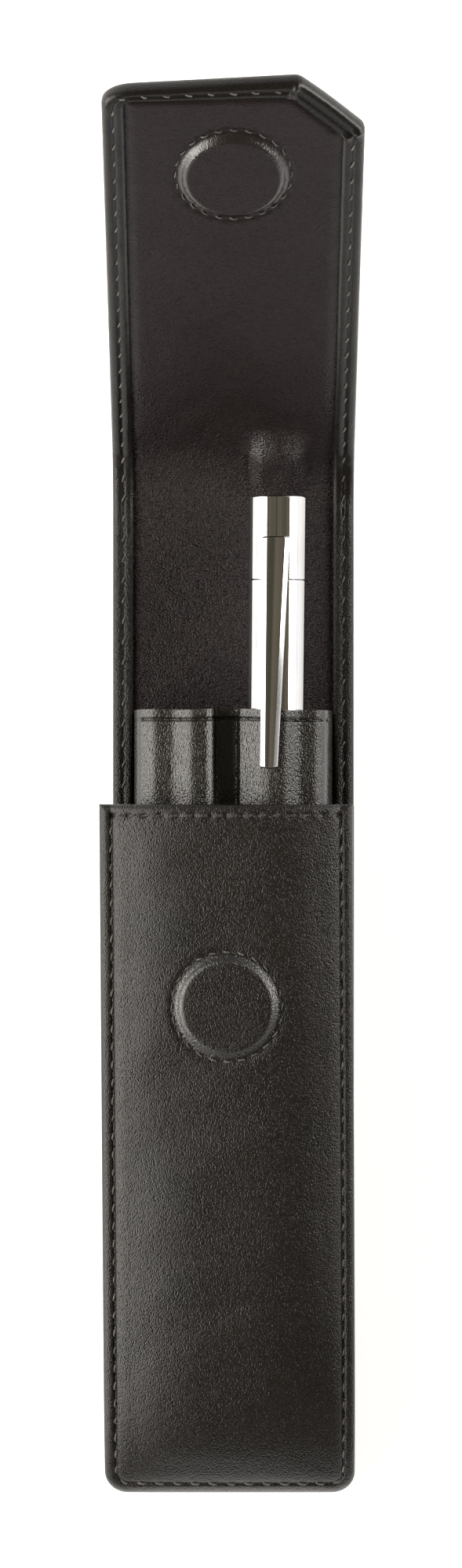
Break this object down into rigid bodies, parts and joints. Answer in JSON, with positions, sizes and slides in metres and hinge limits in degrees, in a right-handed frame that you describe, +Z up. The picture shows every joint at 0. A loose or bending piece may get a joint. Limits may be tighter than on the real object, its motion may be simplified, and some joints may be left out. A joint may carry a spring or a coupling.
{
  "type": "leather pen case",
  "caption": "Slim stitched leather pouch for pens, with a magnetic fold-over flap open and a chrome twist pen pulled part-way out of its sleeve.",
  "frame": {"origin": "middle of the back panel's resting face", "axes": "+Y towards the flap, +Z up from the table through the front panel, +X to the right as seen from above"},
  "size_m": [0.0433, 0.2324, 0.0688],
  "materials": {
    "outer_leather": "satin",
    "lining_leather": "satin",
    "thread": "matte",
    "board": "matte",
    "magnet": "satin",
    "chrome": "polished",
    "mechanism": "matte",
    "refill": "satin"
  },
  "bodies": {
    "case": {"back_outer": "outer_leather", "back_board": "board", "back_lining": "lining_leather", "back_left_thread": "thread", "back_right_thread": "thread", "front_outer": "outer_leather", "front_lining": "lining_leather", "front_magnet": "magnet", "front_seam_thread": "thread", "front_mouth_thread": "thread", "front_magnet_thread": "thread", "left_gusset": "outer_leather", "right_gusset": "outer_leather", "sleeve_front": "outer_leather", "sleeve_back": "lining_leather", "sleeve_left_thread": "thread", "sleeve_right_thread": "thread"},
    "fold": {"fold_outer": "outer_leather", "fold_lining": "lining_leather", "fold_left_thread": "thread", "fold_right_thread": "thread"},
    "flap": {"flap_outer": "outer_leather", "flap_board": "board", "flap_lining": "lining_leather", "flap_magnet": "magnet", "flap_seam_thread": "thread", "flap_magnet_thread": "thread"},
    "pen": {"pen_finial": "chrome", "pen_clip": "chrome", "pen_upper_barrel": "chrome", "pen_centre_band": "chrome", "pen_twist_mechanism": "mechanism"},
    "pen_lower": {"pen_lower_barrel": "chrome", "pen_tip": "chrome"},
    "refill": {"pen_refill": "refill"}
  },
  "joints": [
    {"name": "fold_hinge", "type": "hinge", "parent": "case", "child": "fold", "pos_m": [0, 0.07775, 0.0024], "axis": [1, 0, 0], "range_deg": [0, 101.5]},
    {"name": "flap_bend", "type": "hinge", "parent": "fold", "child": "flap", "pos_m": [0, 0.09673, 0.0038], "axis": [1, 0, 0], "range_deg": [-50, 30], "stiffness_Nm_per_rad": 0.2, "springref_deg": 0.92},
    {"name": "pen_slide", "type": "slide", "parent": "case", "child": "pen", "axis": [-0.0087, -0.9993, -0.0359], "range_m": [0, 0.027]},
    {"name": "pen_twist", "type": "hinge", "parent": "pen", "child": "pen_lower", "pos_m": [0.0075, 0.09255, 0.01221], "axis": [0.0087, 0.9993, 0.0359], "range_deg": [0, 180]},
    {"name": "refill_feed", "type": "slide", "parent": "pen", "child": "refill", "axis": [-0.0087, -0.9993, -0.0359], "range_m": [0, 0.003]}
  ],
  "couplings": [
    {"joint": "fold_hinge", "follows": "pen_slide", "rad_per_m": 65.611},
    {"joint": "pen_twist", "follows": "refill_feed", "rad_per_m": 1047.2}
  ]
}
